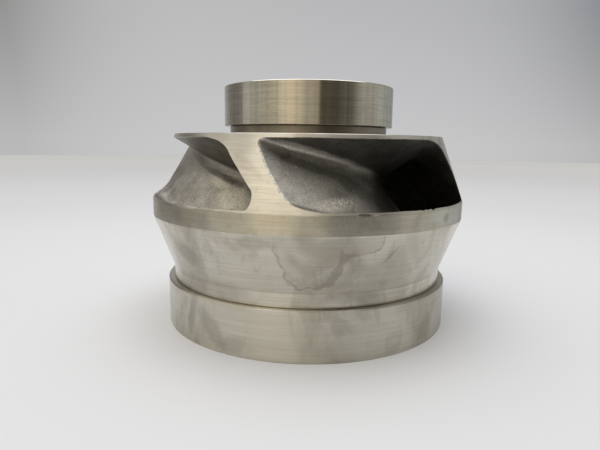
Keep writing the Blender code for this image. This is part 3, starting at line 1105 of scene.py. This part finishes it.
for across, up, half_width, half_height, rise, strength in dust_and_highlight_patches:
    distance = blot_at(tree, across, up, half_width, half_height, rise=rise, raggedness=1.1, ripple=140.0)
    dust_and_highlights = reckon(tree, "MAXIMUM", dust_and_highlights, fade(tree, distance, 0.3, 1.15, strength))
dust_and_highlights = times(tree, dust_and_highlights, reckon(tree, "MULTIPLY_ADD", grain["Speckle"], 0.5, 0.55))
tint(cast_steel, dust_and_highlights, dust_and_highlight_colour)
tint(cast_steel, times(tree, grain["Pits"], pit_strength), pit_colour)

# Painted shade darkens the folds along the vane faces and the deep part of the right mouth.
soft_patch(cast_steel, (-53, 93.8), (20, 2.6), crease_shade_colour, 0.60, 0.6, rise=-0.38)
soft_patch(cast_steel, (-4, 103.4), (21, 2.8), crease_shade_colour, 0.45, 0.6, rise=-0.38)
soft_patch(cast_steel, (27, 89.0), (17, 4.5), crease_shade_colour, 0.54, 0.6, rise=-0.60)
soft_patch(cast_steel, (46, 84), (14, 14), crease_shade_colour, 0.75, 0.5)
soft_patch(cast_steel, (49, 80), (13, 9), crease_shade_colour, 0.85, 0.3)
tint(cast_steel, times(tree, grain["Nodules"], nodule_strength), dust_and_highlight_colour)

# A crust of burnt-on sand lies low in the front mouth, just behind the lip.
crust = use_group(tree, sand_skin, pit_spacing=600.0)
crusted = fade(tree, blot_at(tree, 14.5, 82.9, 12.0, 3.0, raggedness=0.9, ripple=200.0), 0.5, 1.1)
flaky = mottle(tree, here, 560.0, 5.0, 0.65)
flakes = times(tree, crusted, fade(tree, flaky, 0.60, 0.50, flake_strength))
tint(cast_steel, times(tree, crusted, crust["Pits"]), burr_colour)
tint(cast_steel, times(tree, crusted, crust["Nodules"]), pit_colour)
tint(cast_steel, flakes, burr_colour)
dust_and_highlights = reckon(tree, "MAXIMUM", dust_and_highlights, flakes)

# A bright broken burr edges the mouths, where the lathe broke through the skin.
burr_width = 1.1 * mm
cone_lean = (band_radius - rim_radius) / (rim_top - band_top)
cone_here = reckon(tree, "MULTIPLY_ADD", axes["Z"], -cone_lean, rim_radius + cone_lean * rim_top)
inside = reckon(tree, "SUBTRACT", cone_here, from_axis(tree, axes))
broken = reckon(tree, "MULTIPLY_ADD", grain["Speckle"], 0.8, 0.2)
tint(cast_steel, times(tree, fade(tree, inside, 0.4 * burr_width, burr_width), broken), burr_colour)
tree.links.new(reckon(tree, "MULTIPLY_ADD", dust_and_highlights, -0.8, 1.0), shader.inputs["Metallic"])
shader.inputs["Roughness"].default_value = 0.45
engrave(tree, shader, grain["Height"], skin_depth)

# The turned cone of the vane tips, with paler and darker places in the film of old coolant, and a painted
# shadow in a thin band along its top edge.
cone_steel = turned_steel(
    "turned_vane_tips",
    bright=(0.62, 0.59, 0.535),
    dull=(0.47, 0.43, 0.365),
    roughness=0.30,
    smudge_size=55.0,
    cover=0.60,
    stretch=1.0,
    run_length=3.0,
    streak=0.18,
    line_strength=0.45,
)
film_and_shadow_tone = (0.40, 0.385, 0.35)
soft_patch(cone_steel, (-38, 113), (13, 9), film_and_shadow_tone, 0.50)
soft_patch(cone_steel, (0, 82), (11, 5), (0.78, 0.74, 0.66), 0.55)
# painted shadow in a thin band along the top edge of the vane tips
soft_patch(cone_steel, (10, 117), (60, 2.6), film_and_shadow_tone, 0.35)
soft_patch(cone_steel, (-56, 116), (20, 4), (0.36, 0.35, 0.32), 0.55)

# The turned front shroud and band, with smudges of grime, and painted light in a pale patch at the band's
# right end.
front_steel = turned_steel(
    "turned_front_shroud",
    bright=(0.60, 0.570, 0.492),
    dull=(0.46, 0.432, 0.362),
    roughness=0.25,
    smudge_size=26.0,
    cover=0.55,
)
grime = (0.26, 0.235, 0.19)
soft_patch(front_steel, (17, 50), (12, 20), grime, 0.22)
soft_patch(front_steel, (-47, 34), (20, 6), grime, 0.38)
soft_patch(front_steel, (24, 34), (20, 5), grime, 0.32)
soft_patch(front_steel, (-66, 52), (9, 8), grime, 0.55, slant=-0.6)
soft_patch(front_steel, (-60, 74), (13, 7), grime, 0.45)
soft_patch(front_steel, (-26, 64), (13, 4), grime, 0.35)
soft_patch(front_steel, (44, 58), (1.4, 6), grime, 0.45, slant=0.9)
# painted light: a pale patch at the band's right end
soft_patch(front_steel, (77, 75), (18, 7), (0.76, 0.75, 0.71), 0.45)
soft_patch(front_steel, (76, 74), (2.5, 3), grime, 0.5)
soft_patch(front_steel, (28, 79.2), (5.5, 0.8), (0.12, 0.10, 0.08), 0.8, 0.3)

# Below the band a spill ran down in two lobes and dried with a dark edge, broad at its right side.
tree = front_steel.node_tree
left_lobe = blot_at(
    tree, 3.0, 62.0, 20.0, 22.5, taper=0.6, squareness=4.0, raggedness=0.5, ripple=170.0
)
right_lobe = blot_at(
    tree, 27.0, 67.0, 12.5, 8.5, rise=0.15, squareness=4.0, raggedness=0.5, ripple=170.0
)
spill = reckon(tree, "MINIMUM", left_lobe, right_lobe)
axes = split(tree, spot_in(tree))
below_band = fade(tree, axes["Z"], band_bottom - 1.0 * mm, band_bottom)
to_the_right = fade(tree, axes["X"], 24.0 * mm, 16.0 * mm)
low_down = reckon(tree, "MAXIMUM", fade(tree, axes["Z"], 60.0 * mm, 66.0 * mm), to_the_right)
broad_from = fade(tree, axes["X"], 13.0 * mm, 7.0 * mm)
broad_to = fade(tree, axes["X"], 23.0 * mm, 27.0 * mm)
edge_start = reckon(tree, "SUBTRACT", 0.92, times(tree, broad_from, broad_to, 0.19))
edge_full = reckon(tree, "ADD", edge_start, 0.05)
tidemark = times(tree, fade(tree, spill, edge_full, edge_start), fade(tree, spill, 0.98, 1.04), low_down)
film_left = reckon(tree, "MULTIPLY_ADD", to_the_right, 0.08, 0.14)
tint(front_steel, times(tree, fade(tree, spill, 0.97, 1.02), film_left, below_band), grime)
tint(front_steel, times(tree, tidemark, below_band, 0.48), grime)

# The faced back shroud, browned all over by grime in its groove and by painted shade where it lies under
# the back ring's overhang, and the bored hub.
back_steel = turned_steel(
    "faced_back_shroud",
    bright=(0.50, 0.475, 0.43),
    dull=(0.36, 0.34, 0.30),
    roughness=0.34,
    smudge_size=26.0,
    cover=0.56,
    pitch=0.8 * mm,
    run_length=8.0,
    streak=0.08,
    line_strength=0.2,
)
grime_and_shade_brown = (0.215, 0.178, 0.135)
# brown over all of it: grime, and painted shade under the back ring
tint(back_steel, 0.55, grime_and_shade_brown)
hub_steel = turned_steel(
    "bored_hub",
    bright=(0.58, 0.56, 0.53),
    dull=(0.42, 0.40, 0.37),
    roughness=0.30,
    smudge_size=30.0,
    cover=0.60,
    pitch=0.7 * mm,
    run_length=6.0,
    streak=0.08,
    line_strength=0.2,
)
faced_top(hub_steel, 0.85, 0.15)

# The outside is turned, the cores are drawn from the passages, the hub is bored and drilled, and
# the lip has been chipped in use.
lip_chips = [
    (16.2, 100.2, 79.4, (4.8, 0.9, 0.8)),
    (20.0, 100.3, 79.3, (1.6, 0.8, 0.6)),
    (37.2, 99.8, 80.3, (1.5, 0.7, 0.6)),
    (39.5, 99.7, 80.5, (1.1, 0.7, 0.7)),
    (41.8, 99.9, 80.0, (1.8, 0.8, 0.5)),
    (-41.0, 99.9, 80.2, (1.8, 0.7, 0.5)),
    (-33.5, 100.0, 79.9, (1.2, 0.6, 0.5)),
]
cutter_overrun = 4.0 * mm

casting = lathe("casting", casting_outline())
for finish in (cast_steel, cone_steel, front_steel, back_steel, hub_steel):
    casting.data.materials.append(finish)
cut_away(casting, [passage_core(i) for i in range(vane_count)], cast_steel)
key_reach = bore_radius + keyway_depth
keyway = block_cutter(
    (key_reach, keyway_width, boss_top - nose_bottom + cutter_overrun),
    (0.5 * key_reach, 0.0, 0.5 * (boss_top + nose_bottom)),
)
holes = []
for i in range(balance_holes):
    angle = math.pi / 4 + math.pi / 2 * i
    x, y, top = on_circle(balance_hole_circle, angle, pocket_floor + pocket_fillet)
    holes.append(drill_cutter(balance_hole_radius, nose_bottom, top, x, y))
cut_away(casting, [keyway] + holes, hub_steel)
cut_away(casting, [dent_cutter(*dent) for dent in lip_chips], front_steel)
shade_turned(casting, [cast_skin])
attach(casting, "root")
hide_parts("impeller_casting")


# Front wear ring. A plain turned stainless ring pressed on the suction end, on which the impeller
# stands. It is the most handled surface: greasy streaks run down it.
front_chamfer = 0.7 * mm
front_dents = [
    (16.7, 93.5, 26.6, (1.1, 0.9, 0.5)),
    (17.9, 93.4, 26.9, (0.6, 0.7, 0.4)),
    (47.5, 93.5, 3.0, (0.9, 0.8, 0.6)),
]

front_finish = turned_steel(
    "turned_front_ring",
    bright=(0.59, 0.562, 0.488),
    dull=(0.46, 0.43, 0.36),
    roughness=0.33,
    smudge_size=22.0,
    cover=0.54,
    stretch=0.35,
)
soft_patch(front_finish, (-64, 18), (3.0, 14), grime, 0.40, 1.6, slant=0.15)
soft_patch(front_finish, (-50, 12), (7, 12), grime, 0.38, 1.8, slant=-0.35)
soft_patch(front_finish, (-38, 6), (9, 6), grime, 0.30, 1.6)
soft_patch(front_finish, (68, 10), (6, 9), grime, 0.42, 1.6, slant=0.3)
soft_patch(front_finish, (75, 22), (2.5, 6), grime, 0.30, 1.6)
tree = front_finish.node_tree
upward = facing_up(tree)
# The sloping chamfer round the ring's top is darkened with painted shade.
chamfer_shade = times(tree, fade(tree, upward, 0.5, 0.2), fade(tree, upward, 0.85, 0.95, 0.6))
chamfer_shade_tone = (0.28, 0.262, 0.23)
tint(front_finish, chamfer_shade, chamfer_shade_tone)


def plain_ring(name, node, box, seat_radius, chamfer, dents, finish):
    """A turned ring over its seat that stands for its CAD node."""
    low, high = box
    bore = seat_radius + seat_gap
    outer = high.x
    outline = [
        (bore, high.z, turned_cone),
        (outer - chamfer, high.z, turned_cone),
        (outer, high.z - chamfer, turned_cone),
        (outer, low.z + edge_break, turned_cone),
        (outer - edge_break, low.z, turned_cone),
        (bore, low.z, turned_cone),
    ]
    ring = lathe(name, outline)
    ring.data.polygons.foreach_set("material_index", [0] * len(ring.data.polygons))
    ring.data.materials.append(finish)
    cut_away(ring, [dent_cutter(*dent) for dent in dents], finish)
    shade_turned(ring, [])
    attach(ring, "root")
    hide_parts(node)


plain_ring(
    "front_ring",
    "front_wear_ring",
    (front_low, front_high),
    front_seat_radius,
    front_chamfer,
    front_dents,
    front_finish,
)


# Back wear ring. The smaller ring pressed on behind the back shroud, of turned stainless too, with
# the finest turning of all: it mirrors the room in upright bands.
back_chamfer = 0.3 * mm
back_dents = [
    (25.0, 53.2, 148.2, (3.4, 0.9, 0.8)),
    (29.5, 53.2, 148.2, (1.6, 0.8, 0.6)),
    (36.3, 53.5, 144.4, (0.7, 0.9, 0.6)),
]

back_finish = turned_steel(
    "turned_back_ring",
    bright=(0.60, 0.575, 0.52),
    dull=(0.52, 0.49, 0.44),
    roughness=0.14,
    smudge_size=30.0,
    cover=0.62,
    run_length=5.0,
    streak=0.20,
    line_strength=0.45,
)
faced_top(back_finish, 0.85, 0.25)
plain_ring(
    "back_ring",
    "back_wear_ring",
    (back_low, back_high),
    back_seat_radius,
    back_chamfer,
    back_dents,
    back_finish,
)
